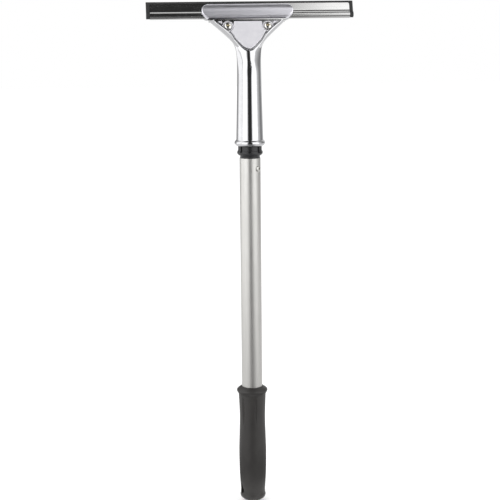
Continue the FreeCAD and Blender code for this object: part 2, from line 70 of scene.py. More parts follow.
# %% Grid to mesh
def grid_mesh(name, rings, body, material, sharp=35.0, caps=(True, True), marks=None):
    """rings is (rows, columns, 3) in millimetres, each row a closed loop. Face (i, j) joins
    columns j and j+1 of rows i and i+1; each end is closed by one face, or by its pole where
    the row has shrunk to a point."""
    rows, columns = rings.shape[:2]
    i, j = np.meshgrid(np.arange(rows - 1), np.arange(columns), indexing="ij")
    k = (j + 1) % columns
    quads = np.stack([i * columns + j, i * columns + k,
                      (i + 1) * columns + k, (i + 1) * columns + j], -1)
    faces = quads.reshape(-1, 4).tolist()
    if caps[0]:
        faces.append(list(range(columns))[::-1])
    if caps[1]:
        faces.append(list(range((rows - 1) * columns, rows * columns)))
    mesh = bpy.data.meshes.new(name)
    mesh.from_pydata((rings.reshape(-1, 3) * MM).tolist(), [], faces)
    if marks is not None:
        mesh.attributes.new("recess", "FLOAT", "POINT").data.foreach_set("value", marks.ravel())
    return finish_piece(name, mesh, body, material, sharp)


def shade(mesh, sharp):
    """Smooth shading up to the sharp angle. Faces with many corners are flat faces of the
    real piece, so they are shaded flat: blended normals would bend a mirror image."""
    mesh.shade_smooth()
    mesh.set_sharp_from_angle(angle=math.radians(sharp))
    corners = np.empty(len(mesh.polygons), int)
    mesh.polygons.foreach_get("loop_total", corners)
    mesh.polygons.foreach_set("use_smooth", corners < 60)


def finish_piece(name, mesh, body, material, sharp=35.0):
    """Merges doubles, points the faces outwards, smooths the shading except over sharp edges,
    and makes the piece ride on its body."""
    work = bmesh.new()
    work.from_mesh(mesh)
    bmesh.ops.remove_doubles(work, verts=work.verts, dist=2e-6)
    bmesh.ops.dissolve_degenerate(work, edges=work.edges, dist=1e-6)
    bmesh.ops.recalc_face_normals(work, faces=work.faces)
    work.to_mesh(mesh)
    work.free()
    shade(mesh, sharp)
    piece = bpy.data.objects.new(name, mesh)
    bpy.context.scene.collection.objects.link(piece)
    mesh.materials.append(material)
    if body:
        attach(piece, body)
    print(f"{name}: {len(mesh.polygons)} faces")
    return piece


def rounded(points, radii, steps=6, closed=True):
    """Corner i of the outline becomes a parabola from radii[i] before it to radii[i] after
    it: (1-t)^2 A + 2t(1-t) P + t^2 B, for all corners at once."""
    p = np.asarray(points, float)
    r = np.broadcast_to(np.asarray(radii, float), len(p))[:, None]
    before, after = np.roll(p, 1, 0) - p, np.roll(p, -1, 0) - p
    a = p + before / np.linalg.norm(before, axis=1, keepdims=True) * r
    b = p + after / np.linalg.norm(after, axis=1, keepdims=True) * r
    t = np.linspace(0, 1, steps)[None, :, None]
    line = ((1 - t) ** 2 * a[:, None] + 2 * t * (1 - t) * p[:, None] + t ** 2 * b[:, None])
    if not closed:
        line[0], line[-1] = p[0], p[-1]
    return line.reshape(-1, 2)


def revolve(outline, columns=96, turn=0.0):
    """A point (r, z) of the outline goes to (r sin a, -r cos a, z) for every angle a."""
    a = np.linspace(0, 2 * np.pi, columns, endpoint=False) + math.radians(turn)
    r, z = np.asarray(outline, float).T
    return np.stack([r[:, None] * np.sin(a), -r[:, None] * np.cos(a), z[:, None] + 0 * a], -1)


def arc_points(centre, radius, start, end, steps=16):
    """Points centre + radius (cos a, sin a), a in degrees from start to end."""
    a = np.radians(np.linspace(start, end, steps))
    return np.stack([centre[0] + radius * np.cos(a), centre[1] + radius * np.sin(a)], -1)


def ease(value, low, high):
    """0 below low, 1 above high, 3t^2 - 2t^3 in between."""
    t = np.clip((value - low) / (high - low), 0, 1)
    return t * t * (3 - 2 * t)


def curve_through(points, count):
    """Catmull-Rom line: a cubic between each two points whose slope at a point is half the
    step between its neighbours. Evaluated at count even parameters."""
    p = np.asarray(points, float)
    p = np.vstack([2 * p[0] - p[1], p, 2 * p[-1] - p[-2]])
    s = np.linspace(0, len(p) - 3 - 1e-9, count)
    i = s.astype(int)
    t = (s - i)[:, None]
    a, b, c, d = p[i], p[i + 1], p[i + 2], p[i + 3]
    return 0.5 * (2 * b + (c - a) * t + (2 * a - 5 * b + 4 * c - d) * t ** 2
                  + (3 * b - a - 3 * c + d) * t ** 3)

# %% [markdown]
# ## The leaning head
# The head leans back 20 degrees from the pole. As in the CAD, its pieces are laid out flat
# first: X along the blade, "rise" up the blade and "depth" towards the viewer, from the
# underside of the channel. One function then tips them onto the pole.

# %% Head frame
LEAN, BEND_Z, REACH = math.radians(20.0), 495.0, 41.6
HEAD_BASE = (REACH * math.sin(LEAN), BEND_Z + REACH * math.cos(LEAN))


def head(x, depth, rise):
    """(x, depth, rise) to the row frame, in millimetres: the front direction is
    (0, -cos L, sin L) and the rise direction is (0, sin L, cos L)."""
    x, depth, rise = np.broadcast_arrays(x, depth, rise)
    return np.stack([x, HEAD_BASE[0] - depth * math.cos(LEAN) + rise * math.sin(LEAN),
                     HEAD_BASE[1] + depth * math.sin(LEAN) + rise * math.cos(LEAN)], -1)


def soften(outline, step, passes):
    """The outline at even steps, then p = (before + 2p + after) / 4 a few times, which rounds
    every corner a little."""
    o = np.vstack([outline, outline[:1]])
    walked = np.concatenate([[0], np.cumsum(np.linalg.norm(np.diff(o, axis=0), axis=1))])
    at = np.linspace(0, walked[-1], int(walked[-1] / step), endpoint=False)
    p = np.stack([np.interp(at, walked, o[:, 0]), np.interp(at, walked, o[:, 1])], -1)
    for _ in range(passes):
        p = (np.roll(p, 1, 0) + 2 * p + np.roll(p, -1, 0)) / 4
    return p


def plate(name, outline, back, front, rim, body, material, steps=5):
    """A flat plate with a quarter-round front edge: the outline (x, rise) moves inwards by
    rim (1 - cos a) while the depth grows by rim sin a."""
    o = np.asarray(outline, float)
    along = np.roll(o, -1, 0) - np.roll(o, 1, 0)
    along /= np.linalg.norm(along, axis=1, keepdims=True)
    area = np.sum(o[:, 0] * np.roll(o[:, 1], -1) - np.roll(o[:, 0], -1) * o[:, 1])
    inward = np.stack([-along[:, 1], along[:, 0]], -1) * np.sign(area)
    a = np.linspace(0, np.pi / 2, steps)[:, None]
    edge = o[None] + inward[None] * (rim * (1 - np.cos(a)))[..., None]
    depth = front - math.copysign(rim, front - back) * (1 - np.sin(a))
    rings = np.concatenate([o[None], edge])
    depths = np.concatenate([[[back]], depth])
    return grid_mesh(name, head(rings[..., 0], depths, rings[..., 1]), body, material)


def cut(piece, *tools):
    """Boolean difference, worked out now and kept in the mesh."""
    for tool in tools:
        change = piece.modifiers.new("cut", "BOOLEAN")
        change.object, change.operation, change.solver = tool, "DIFFERENCE", "EXACT"
        depsgraph = bpy.context.evaluated_depsgraph_get()
        mesh = bpy.data.meshes.new_from_object(piece.evaluated_get(depsgraph))
        piece.modifiers.clear()
        piece.data = mesh
        bpy.data.objects.remove(tool)
    shade(mesh, 32)
    print(f"{piece.name} after cutting: {len(mesh.polygons)} faces")

# %% [markdown]
# ## Materials
# Colours are picked as sRGB hex values and turned to the linear values that the renderer
# adds up. One small function places a node, sets it and links it. Every pattern's scale is
# worked out from a real size: a Noise texture at scale 1/s has features about s metres wide.

# %% Colour and node helpers
def linear(hex_colour):
    """sRGB to linear: c/12.92 under 0.04045, else ((c+0.055)/1.055)^2.4."""
    c = np.array([int(hex_colour[i:i + 2], 16) for i in (1, 3, 5)]) / 255
    c = np.where(c <= 0.04045, c / 12.92, ((c + 0.055) / 1.055) ** 2.4)
    return (*c.tolist(), 1.0)


def add(tree, kind, settings=(), links=()):
    """A node of this kind; settings are attributes or input values by name, links are
    (own input, other node, its output)."""
    node = tree.nodes.new("ShaderNode" + kind)
    for key, value in dict(settings).items():
        if key in node.inputs:
            node.inputs[key].default_value = value
        else:
            setattr(node, key, value)
    for own, other, output in links:
        tree.links.new(other.outputs[output], node.inputs[own])
    return node


def start(name, **values):
    """A material with its Principled shader set to constant values and Object coordinates."""
    material = bpy.data.materials.new(name)
    material.use_nodes = True
    tree = material.node_tree
    shader = tree.nodes["Principled BSDF"]
    for key, value in values.items():
        shader.inputs[key.replace("_", " ")].default_value = value
    return material, tree, shader, add(tree, "TexCoord")


def stretched_noise(tree, coordinates, size_mm, detail=3.0):
    """Noise whose features measure size_mm along each axis."""
    mapping = add(tree, "Mapping", {"Scale": [1 / (s * MM) for s in size_mm]},
                  [("Vector", coordinates, "Object")])
    return add(tree, "TexNoise", {"Scale": 1.0, "Detail": detail, "Roughness": 0.55},
               [("Vector", mapping, "Vector")])


def vary(tree, shader, socket, noise, low, high):
    """Carries a noise from 0.3..0.7 to low..high on one of the shader's sockets."""
    spread = add(tree, "MapRange", {"From Min": 0.3, "From Max": 0.7, "To Min": low, "To Max": high},
                 [("Value", noise, "Fac")])
    tree.links.new(spread.outputs["Result"], shader.inputs[socket])


def tint(tree, shader, noise, dark, light):
    """Mixes two colours by a noise into the shader's base colour."""
    ramp = add(tree, "ValToRGB", (), [("Fac", noise, "Fac")])
    ramp.color_ramp.elements[0].position, ramp.color_ramp.elements[1].position = 0.3, 0.7
    ramp.color_ramp.elements[0].color, ramp.color_ramp.elements[1].color = linear(dark), linear(light)
    tree.links.new(ramp.outputs["Color"], shader.inputs["Base Color"])


def relief(tree, shader, noise, height_mm, strength=1.0):
    bump = add(tree, "Bump", {"Distance": height_mm * MM, "Strength": strength},
               [("Height", noise, "Fac")])
    tree.links.new(bump.outputs["Normal"], shader.inputs["Normal"])

# %% [markdown]
# ### Metals
# The head is zinc casting, polished and chrome plated: a neutral mirror with a faint wave
# from polishing. Its clamp plate was tumbled before plating, so it looks like satin and a
# little violet. The channel is cold-rolled stainless strip, drawn lengthwise through rolls.
# The pole is extruded and anodised aluminium, with fine lines along it.

# %% Metal materials
def chrome_plating():
    material, tree, shader, here = start("chrome_plated_zinc", Metallic=1.0)
    wave = stretched_noise(tree, here, (14, 14, 22), 1.0)       # polishing waves, 14 to 22 mm
    wipe = stretched_noise(tree, here, (5, 5, 5), 4.0)          # wipe marks and haze, 5 mm
    tint(tree, shader, wipe, "#C6C6C8", "#CECED0")
    vary(tree, shader, "Roughness", wipe, 0.045, 0.085)
    relief(tree, shader, wave, 0.05, 0.35)
    return material


def satin_plating():
    material, tree, shader, here = start("satin_chrome_plate", Metallic=1.0)
    grain = stretched_noise(tree, here, (0.35, 0.35, 0.35), 3.0)    # tumbling grain, 0.35 mm
    cloud = stretched_noise(tree, here, (6, 6, 6), 2.0)
    tint(tree, shader, cloud, "#F0EFF4", "#F6F5F9")
    vary(tree, shader, "Roughness", cloud, 0.52, 0.6)
    relief(tree, shader, grain, 0.02, 0.5)
    return material


def jaw_plating():
    material, tree, shader, here = start("semi_bright_chrome_plate", Metallic=1.0)
    line = stretched_noise(tree, here, (40, 0.6, 0.6), 3.0)     # polishing lines along the jaw
    tint(tree, shader, line, "#E9E8EF", "#EFEEF5")
    vary(tree, shader, "Roughness", line, 0.28, 0.36)
    relief(tree, shader, line, 0.01, 0.3)
    return material


def stainless_strip():
    material, tree, shader, here = start("rolled_stainless_strip", Metallic=1.0)
    # roll waves, 1.7 mm apart and 90 mm long
    line = stretched_noise(tree, here, (90, 1.7, 1.7), 3.0)
    cloud = stretched_noise(tree, here, (25, 4, 4), 2.0)
    tint(tree, shader, line, "#BDBDBC", "#C8C8C7")
    vary(tree, shader, "Roughness", cloud, 0.07, 0.14)
    relief(tree, shader, line, 0.035, 1.0)
    return material


def anodised_aluminium():
    material, tree, shader, here = start("anodised_aluminium_tube", Metallic=1.0)
    line = stretched_noise(tree, here, (0.5, 0.5, 90), 4.0)     # extrusion lines, 0.5 mm apart
    cloud = stretched_noise(tree, here, (9, 9, 30), 2.0)
    tint(tree, shader, line, "#C2C1BE", "#CECDCA")
    vary(tree, shader, "Roughness", cloud, 0.39, 0.46)
    relief(tree, shader, line, 0.008, 0.5)
    return material


def plain_metal(name, dark, light, low, high, grain_mm):
    material, tree, shader, here = start(name, Metallic=1.0)
    grain = stretched_noise(tree, here, (grain_mm,) * 3, 3.0)
    tint(tree, shader, grain, dark, light)
    vary(tree, shader, "Roughness", grain, low, high)
    relief(tree, shader, grain, 0.01, 0.4)
    return material


CHROME, SATIN, JAW = chrome_plating(), satin_plating(), jaw_plating()
STAINLESS, ALUMINIUM = stainless_strip(), anodised_aluminium()
RIVET = plain_metal("drawn_aluminium_rivet", "#C2C1BD", "#D2D1CD", 0.2, 0.32, 0.8)
MANDREL = plain_metal("steel_mandrel", "#77746F", "#8F8B85", 0.35, 0.5, 0.5)
WASHER = plain_metal("spring_steel_washer", "#8E8E8E", "#A5A5A4", 0.25, 0.38, 0.6)
BRASS = plain_metal("sheet_brass_clip", "#B4924F", "#C9A763", 0.25, 0.4, 0.7)


def screw_plating():
    """Nickel on the head, with the yellowish zinc showing in the cross. The mesh marks how
    far a point is down in the cross."""
    material, tree, shader, here = start("nickel_plated_screw", Metallic=1.0)
    depth = add(tree, "Attribute", {"attribute_name": "recess"})
    grain = stretched_noise(tree, here, (0.5, 0.5, 0.5), 3.0)
    ramp = add(tree, "ValToRGB", (), [("Fac", depth, "Fac")])
    ramp.color_ramp.elements[0].color = linear("#D9D8D5")
    ramp.color_ramp.elements[1].color = linear("#B0A484")
    tree.links.new(ramp.outputs["Color"], shader.inputs["Base Color"])
    vary(tree, shader, "Roughness", grain, 0.10, 0.2)
    relief(tree, shader, grain, 0.008, 0.4)
    return material


SCREW = screw_plating()

# %% [markdown]
# ### Plastics and rubber
# The grip is moulded polypropylene with a matt eroded texture, a warm dark grey. The
# adapter is the same kind of plastic in black, moulded smoother. The blade is moulded
# natural rubber, black and slightly chalky on its cut edge.

# %% Plastic and rubber materials
def moulded(name, dark, light, low, high, grain_mm, height_mm):
    material, tree, shader, here = start(name, IOR=1.49)
    grain = stretched_noise(tree, here, (grain_mm,) * 3, 4.0)   # eroded mould texture
    cloud = stretched_noise(tree, here, (18, 18, 30), 3.0)      # handling wear, 18 mm patches
    tint(tree, shader, cloud, dark, light)
    vary(tree, shader, "Roughness", cloud, low, high)
    relief(tree, shader, grain, height_mm, 0.6)
    return material


GRIP = moulded("moulded_polypropylene_grip", "#262423", "#2E2C2A", 0.40, 0.50, 0.45, 0.03)
ADAPTER = moulded("moulded_black_adapter", "#19191B", "#222224", 0.30, 0.42, 0.5, 0.015)
RUBBER = moulded("moulded_blade_rubber", "#1C1C1D", "#262627", 0.5, 0.62, 0.4, 0.02)
RUBBER.node_tree.nodes["Principled BSDF"].inputs["IOR"].default_value = 1.52

# %% [markdown]
# ## Camera and light
# The camera stands about 1.6 m away, a little to the left of the front and 10 degrees
# above, as for a catalogue picture. Polished metal shows the room more than itself. The
# room is therefore two large white panels, one each side, with a dark gap between them
# behind the camera, a dim ceiling and a pale floor. The gap makes the dark line down the
# stem and the soft one down the tube.

# %% Camera
AIM = np.array([-0.0011, 0.0, 0.255])
AZIMUTH, ELEVATION, DISTANCE, ROLL = math.radians(-7.0), math.radians(10.5), 1.594, math.radians(0.54)
lens = bpy.data.cameras.new("camera")
lens.sensor_width, lens.lens = 36.0, 93.6
lens.clip_start, lens.clip_end = 0.05, 30.0
camera = bpy.data.objects.new("camera", lens)
bpy.context.scene.collection.objects.link(camera)
bpy.context.scene.camera = camera
away = np.array([math.sin(AZIMUTH) * math.cos(ELEVATION), -math.cos(AZIMUTH) * math.cos(ELEVATION),
                 math.sin(ELEVATION)])
camera.location = AIM + away * DISTANCE
camera.rotation_euler = (math.pi / 2 - ELEVATION, 0.0, AZIMUTH)
camera.rotation_euler.rotate_axis("Z", -ROLL)

# %% Panels, floor and sky
def panel(name, azimuth, distance, width, low, high, radiance):
    """An area light that faces the pole; its power is radiance x pi x area."""
    light = bpy.data.lights.new(name, "AREA")
    light.shape, light.size, light.size_y = "RECTANGLE", width, high - low
    light.energy = radiance * math.pi * width * (high - low)
    piece = bpy.data.objects.new(name, light)
    a = math.radians(azimuth)
    piece.location = (distance * math.sin(a), -distance * math.cos(a), (low + high) / 2)
    piece.rotation_euler = (math.pi / 2, 0.0, a)
    piece.visible_camera = False
    bpy.context.scene.collection.objects.link(piece)
    return piece


panel("panel_left_front", -51.5, 1.5, 1.24, -0.07, 2.6, 0.76)
panel("panel_left_side", -102.0, 1.5, 1.24, -0.07, 2.6, 0.55)
panel("panel_right", 42.0, 1.5, 1.43, -0.07, 2.6, 0.74)

floor_paint, _, floor_shader, _ = start("matt_white_floor", Roughness=0.9)
floor_shader.inputs["Base Color"].default_value = linear("#F8F8F8")
floor_shader.inputs["Specular IOR Level"].default_value = 0.0
floor_shader.inputs["Emission Color"].default_value = linear("#FFFFFF")
floor_shader.inputs["Emission Strength"].default_value = 0.16
ground = CAD_BOX[0][2]
sheet = bpy.data.meshes.new("floor")
sheet.from_pydata([(-9, -9, ground), (9, -9, ground), (9, 9, ground), (-9, 9, ground)], [],
                  [(0, 1, 2, 3)])
sheet.materials.append(floor_paint)
floor = bpy.data.objects.new("floor", sheet)
bpy.context.scene.collection.objects.link(floor)

# %% [markdown]
# A studio hides the room's dark parts with cards. These are seen only by reflections. Each
# is a grid whose points store how much light comes back from there, so a card can fade out
# towards a panel and give the soft edges that polished metal shows.

# %% Shade cards
card_cloth, card_tree, card_shader, _ = start("shade_card_cloth", Roughness=1.0)
card_shader.inputs["Base Color"].default_value = linear("#000000")
card_shader.inputs["Specular IOR Level"].default_value = 0.0
card_shader.inputs["Emission Color"].default_value = linear("#FFFFFF")
glow_read = add(card_tree, "Attribute", {"attribute_name": "glow"})
card_tree.links.new(glow_read.outputs["Fac"], card_shader.inputs["Emission Strength"])


def shade_card(name, points, glow):
    """points is a (rows, columns, 3) grid in metres and glow is its light, point by point."""
    rows, columns = points.shape[:2]
    i, j = np.meshgrid(np.arange(rows - 1), np.arange(columns - 1), indexing="ij")
    first = i * columns + j
    quads = np.stack([first, first + 1, first + columns + 1, first + columns], -1)
    mesh = bpy.data.meshes.new(name)
    mesh.from_pydata(points.reshape(-1, 3).tolist(), [], quads.reshape(-1, 4).tolist())
    mesh.attributes.new("glow", "FLOAT", "POINT").data.foreach_set("value", np.asarray(glow, float).ravel())
    mesh.materials.append(card_cloth)
    card = bpy.data.objects.new(name, mesh)
    bpy.context.scene.collection.objects.link(card)
    card.visible_camera = card.visible_diffuse = card.visible_shadow = False
    card.visible_transmission = card.visible_volume_scatter = False


degrees, card_z = np.meshgrid(np.linspace(-27, 17, 89), np.array([-0.06, 3.2]))
a = np.radians(degrees)
fade = ease(-degrees, 19, 26) + ease(degrees, 8.8, 15.5)
shade_card("gap_card", np.stack([1.45 * np.sin(a), -1.45 * np.cos(a), card_z], -1),
           0.04 + 1.15 * fade)
x, y = np.meshgrid(np.linspace(-2, 2, 2), np.linspace(-1.6, 1.1, 28))
shade_card("ceiling_card", np.stack([x, y, 3.2 + 0 * x], -1), 0.04 + 1.2 * ease(y, 0.22, 0.42))
degrees, reach = np.meshgrid(np.linspace(-176, 184, 145), np.linspace(0.06, 1.42, 28))
a = np.radians(degrees)
shade_card("floor_card", np.stack([reach * np.sin(a), -reach * np.cos(a), ground + 0.004 + 0 * a], -1),
           0.2 + 0.7 * ease(np.abs(degrees - 4), 14, 50) * ease(reach, 0.08, 0.32))
for name, low, high in (("lower_slat", 1.19, 1.28), ("upper_slat", 1.38, 1.5)):
    degrees, card_z = np.meshgrid(np.linspace(5, 17, 13), np.array([low, high]))
    a = np.radians(degrees)
    shade_card(name, np.stack([1.43 * np.sin(a), -1.43 * np.cos(a), card_z], -1), 0.12 + 0 * a)
degrees, card_z = np.meshgrid(np.linspace(64, 244, 91), np.array([-0.06, 3.4]))
a = np.radians(degrees)
shade_card("room_card", np.stack([2.3 * np.sin(a), -2.3 * np.cos(a), card_z], -1),
           0.6 + 0.3 * np.cos(4 * (a - math.radians(154))))

# %% Sky
sky = bpy.data.worlds.new("white_room")
sky.use_nodes = True
sky.node_tree.nodes["Background"].inputs["Color"].default_value = linear("#FFFFFF")
sky.node_tree.nodes["Background"].inputs["Strength"].default_value = 1.0
bpy.context.scene.world = sky
bpy.context.scene.view_settings.view_transform = "Standard"

# %% [markdown]
# ## The pole
# Tube, adapter, rivet and grip are all turned shapes, so each is an outline of radius
# against height, carried round the axis. A cylinder primitive would need its rims, shoulders
# and notches added afterwards; here they are part of the same formula.

# %% Tube
wall = rounded([(12.7, -34.4), (12.7, 368.6), (11.7, 368.6), (11.7, -34.4)], 0.3)
tube = grid_mesh("tube", revolve(wall, 160),
                 "pole", ALUMINIUM, caps=(False, False))
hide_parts("pole_tube")

# %% [markdown]
# The adapter is black plastic: a plug inside the tube, a waisted neck, a ring with open
# notches round it, and the long cone that the handle is wedged on. The notches are radius
# taken away where both "inside the slot's width" and "above its round foot" hold.

# %% Adapter
outline = np.concatenate([
    rounded([(8.7, 308.6), (11.0, 308.6), (11.6, 311), (11.6, 368.6), (12.0, 368.75), (12.0, 371.2)],
            [0, 0.4, 0.5, 0.02, 0.05, 0.0], closed=False),
    curve_through([(12.05, 371.3), (13.9, 372.4), (15.1, 373.6), (15.5, 374.9),
                   (15.25, 376.6), (14.4, 377.9)], 22),
    np.stack([np.full(34, 14.4), np.linspace(378.1, 382.6, 34)], -1),
    rounded([(14.4, 382.7), (14.4, 383.0), (13.4, 383.0), (12.98, 383.3), (9.6, 457), (9.0, 458.6), (7.6, 459),
             (0, 459)], [0.1, 0.25, 0.1, 0.1, 0.6, 0.5, 0.3, 0], closed=False),
    [(0, 451), (6.8, 451), (6.8, 371.2), (8.7, 369.2), (8.7, 308.6)]])
rings = revolve(outline, 768)
angle = np.arctan2(rings[..., 0], -rings[..., 1])
radius = np.hypot(rings[..., 0], rings[..., 1])
height = rings[..., 2]
pitch = 2 * np.pi / 8
off = (angle - math.radians(-7.0) + pitch / 2) % pitch - pitch / 2
side = np.abs(off) * radius
foot = 377.1
below = np.where(height < foot, foot - height, 0.0)
reach = 1.5 - np.hypot(side, below)
share = np.clip(reach / 0.35 + 0.5, 0, 1)
share *= (height < 383.05) & (height > 372) & (radius > 12.5)
sunk = np.minimum(radius, 12.9)
scale = (radius + (sunk - radius) * share) / np.maximum(radius, 1e-6)
rings[..., :2] *= scale[..., None]
adapter = grid_mesh("adapter", rings, "pole", ADAPTER, 40, caps=(False, False))
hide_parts("cone_adapter")

# %% [markdown]
# The rivet's head is a shallow dome with the broken mandrel in its middle. Both are turned
# shapes too, laid over to point out of the tube.

# %% Rivet
def aimed(rings, z, azimuth):
    """Local Z becomes the outward direction (sin a, -cos a, 0), and local X, Y the tangent
    and the height."""
    a = math.radians(azimuth)
    x, y, out = rings[..., 0], rings[..., 1], rings[..., 2]
    return np.stack([out * math.sin(a) + x * math.cos(a), -out * math.cos(a) + x * math.sin(a), z + y], -1)


dome = np.concatenate([[(1.3, 5.0), (2.5, 5.0)], curve_through([(2.5, 5.0), (3.3, 6.6), (2.4, 8.3)], 9),
                       [(2.4, 12.6), (3.6, 12.62), (3.75, 12.8)],
                       curve_through([(3.75, 13.0), (3.45, 13.6), (2.6, 14.15), (1.75, 14.42), (1.38, 14.44)], 16),
                       [(1.3, 14.3), (1.3, 5.0)]])
rivet = grid_mesh("rivet_dome", aimed(revolve(dome, 64), 356.0, 43.0), "pole", RIVET,
                  caps=(False, False))
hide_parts("rivet_body")
pin = np.concatenate([[(0, 3.0)], arc_points((1.5, 3.7), 0.7, -90, 0, 6), [(2.2, 5.0), (1.28, 5.0), (1.28, 13.6)],
                      [(1.1, 13.85), (0.6, 13.7), (0, 13.9)]])
mandrel = grid_mesh("rivet_mandrel_pin", aimed(revolve(pin, 48), 356.0, 43.0), "pole", MANDREL,
                    caps=(False, False))
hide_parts("rivet_mandrel")

# %% [markdown]
# The grip is one moulding: a flared collar, a hand hold with a slim waist and a fuller
# belly, six short flutes, a bulged wrist stop and a tear-drop hole for hanging. The flutes
# are radius taken away by a smooth bump in both directions; the hole is cut right through.

# %% Grip
hold = curve_through([(16.9, 72.4), (16.4, 62.8), (15.8, 42.6), (16.45, 18.5), (17.0, -2.6),
                      (16.6, -28.6), (15.7, -44.9), (15.2, -51.7)], 230)
outline = np.concatenate([
    rounded([(12.75, 44), (12.75, 83.0), (13.5, 83.0), (17.75, 80.0)], [0, 0.2, 0.3, 0], closed=False),
    curve_through([(17.9, 79.8), (18.75, 78.9), (19.05, 77.9), (18.75, 76.4), (18.1, 75.3)], 18),
    curve_through([(17.6, 74.3), (17.05, 73.4), (16.92, 72.7)], 6), hold,
    curve_through([(15.2, -52.3), (15.25, -54.2), (15.45, -56.5), (15.9, -58.4), (15.72, -60.3), (15.1, -61.9),
                   (14.0, -62.9)], 40),
    curve_through([(13.8, -63.1), (10.9, -65.1), (7.6, -67.0), (3.8, -68.5), (0.0, -69.0)], 26)])
rings = revolve(outline, 600)
angle = np.arctan2(rings[..., 0], -rings[..., 1])
radius = np.hypot(rings[..., 0], rings[..., 1])
height = rings[..., 2]
pitch = 2 * np.pi / 6
off = ((angle - math.radians(10.0) + pitch / 2) % pitch - pitch / 2) * radius
lengthwise = np.clip(1 - ((height - 52.45) / 18.55) ** 2, 0, 1)
half_width = 2.0 * np.sqrt(lengthwise) + 1e-6
dip = 1.15 * np.sqrt(lengthwise) * np.clip(1 - (off / half_width) ** 2, 0, 1) ** 0.8
dip *= radius > 14
rings[..., :2] *= ((radius - dip) / np.maximum(radius, 1e-6))[..., None]
grip = grid_mesh("grip", rings, "pole", GRIP, 40, caps=(True, False))
lobe = np.concatenate([arc_points((0, 0), 4.1, 154.1, 385.9, 40), [(0.35, 8.9), (0, 9.15), (-0.35, 8.9)]])
stations = np.linspace(-25, 25, 2)
tear = np.stack(np.broadcast_arrays(lobe[None, :, 0], stations[:, None], lobe[None, :, 1]), -1)
turn = math.radians(-72.0)
tear = np.stack([tear[..., 0] * math.cos(turn) - tear[..., 1] * math.sin(turn),
                 tear[..., 0] * math.sin(turn) + tear[..., 1] * math.cos(turn), tear[..., 2] - 52.3], -1)
cut(grip, grid_mesh("tear_drop", tear, None, GRIP))
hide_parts("hand_grip")

# %% [markdown]
# ## Channel and rubber
# The channel is one strip of 0.6 mm stainless, folded so that two flat walls stand on a
# round pocket. The rubber has a bead that slides in the pocket and a flat lip that shows
# above the walls. Each is a section in the plane of depth and rise, carried along X. At
# the channel's ends the walls have rounded upper corners: the rise is cut off at a height
# that falls along a quarter circle.

# %% Channel
def bend(a, p, b, steps=6):
    """Parabola from a to b that leaves and arrives towards the corner p."""
    t = np.linspace(0, 1, steps)[:, None]
    return (1 - t) ** 2 * np.array(a) + 2 * t * (1 - t) * np.array(p) + t ** 2 * np.array(b)


def sweep(section, x):
    """Every section point (depth, rise) at every x."""
    return head(np.asarray(x)[:, None], section[None, :, 0], section[None, :, 1])


def keyhole(bead_r, half, top, blend=0.9, turn=9.0, steps=56):
    """Right wall down to the crease, once round the bead, and up the left wall. The crease
    is filled from blend above it to turn degrees round the bead."""
    crease = 4.3 + math.sqrt(bead_r ** 2 - half ** 2)
    first = math.degrees(math.acos(half / bead_r)) - turn
    round_part = arc_points((0, 4.3), bead_r, first, -180 - first, steps)
    right = bend((half, crease + blend), (half, crease), round_part[0])
    left = bend(round_part[-1], (-half, crease), (-half, crease + blend))
    return np.concatenate([[(half, top)], right, round_part[1:-1], left, [(-half, top)]])


OFFSET = 4.2
ends = 2 - 2 * np.cos(np.linspace(0, np.pi / 2, 10))
span = np.concatenate([ends, np.linspace(2, 239, 80)[1:-1], (241 - ends)[::-1]]) - 120.5 + OFFSET
section = np.concatenate([keyhole(4.3, 1.9, 18.6, 2.6, 22.0), keyhole(3.7, 1.3, 18.6)[::-1]])
rings = sweep(section, span)
corner = np.clip(2 - (120.5 - np.abs(span - OFFSET)), 0, 2)
top = 16.6 + np.sqrt(4 - corner ** 2)
rings = head(span[:, None], section[None, :, 0], np.minimum(section[None, :, 1], top[:, None]))
channel = grid_mesh("channel_strip_folded", rings, "channel_strip", STAINLESS, 30)
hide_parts("channel")

# %% Rubber
section = keyhole(3.6, 1.2, 21.4)
section = np.concatenate([bend((1.05, 21.4), (1.2, 21.4), (1.2, 21.25), 4), section[1:-1],
                          bend((-1.2, 21.25), (-1.2, 21.4), (-1.05, 21.4), 4)])
span = np.concatenate([np.linspace(-125, 125, 91), [-118.6, -118.4, -104.4, -104.2, 104.2, 104.4, 118.4, 118.6]])
span = np.sort(span)
under_clip = ((np.abs(span) > 104.3) & (np.abs(span) < 118.5))[:, None]
out = np.hypot(section[:, 0], section[:, 1] - 4.3)[None]
shrink = np.where(under_clip & (out < 3.75), np.minimum(1, 3.04 / out), 1.0)
rings = head(span[:, None] + OFFSET, section[None, :, 0] * shrink, 4.3 + (section[None, :, 1] - 4.3) * shrink)
rubber = grid_mesh("blade", rings, "rubber", RUBBER, 30)
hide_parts("rubber_blade")
for word in ("left", "right"):
    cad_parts["rubber_clip_" + word].material_slots[0].material = BRASS
    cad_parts["lock_washer_" + word].material_slots[0].material = WASHER

# %% [markdown]
# ## The handle casting
# A round stem grows into a flat Y that leans back. It could be drawn by joining primitives
# and smoothing them, but chrome shows every lump. So it is one grid: each row is a stadium,
# two straight sides and two round ends, whose half width and depths are smooth functions of
# the height, and whose middle follows one arc through the lean. The first rows are the
# tapered socket and the bead at its mouth.

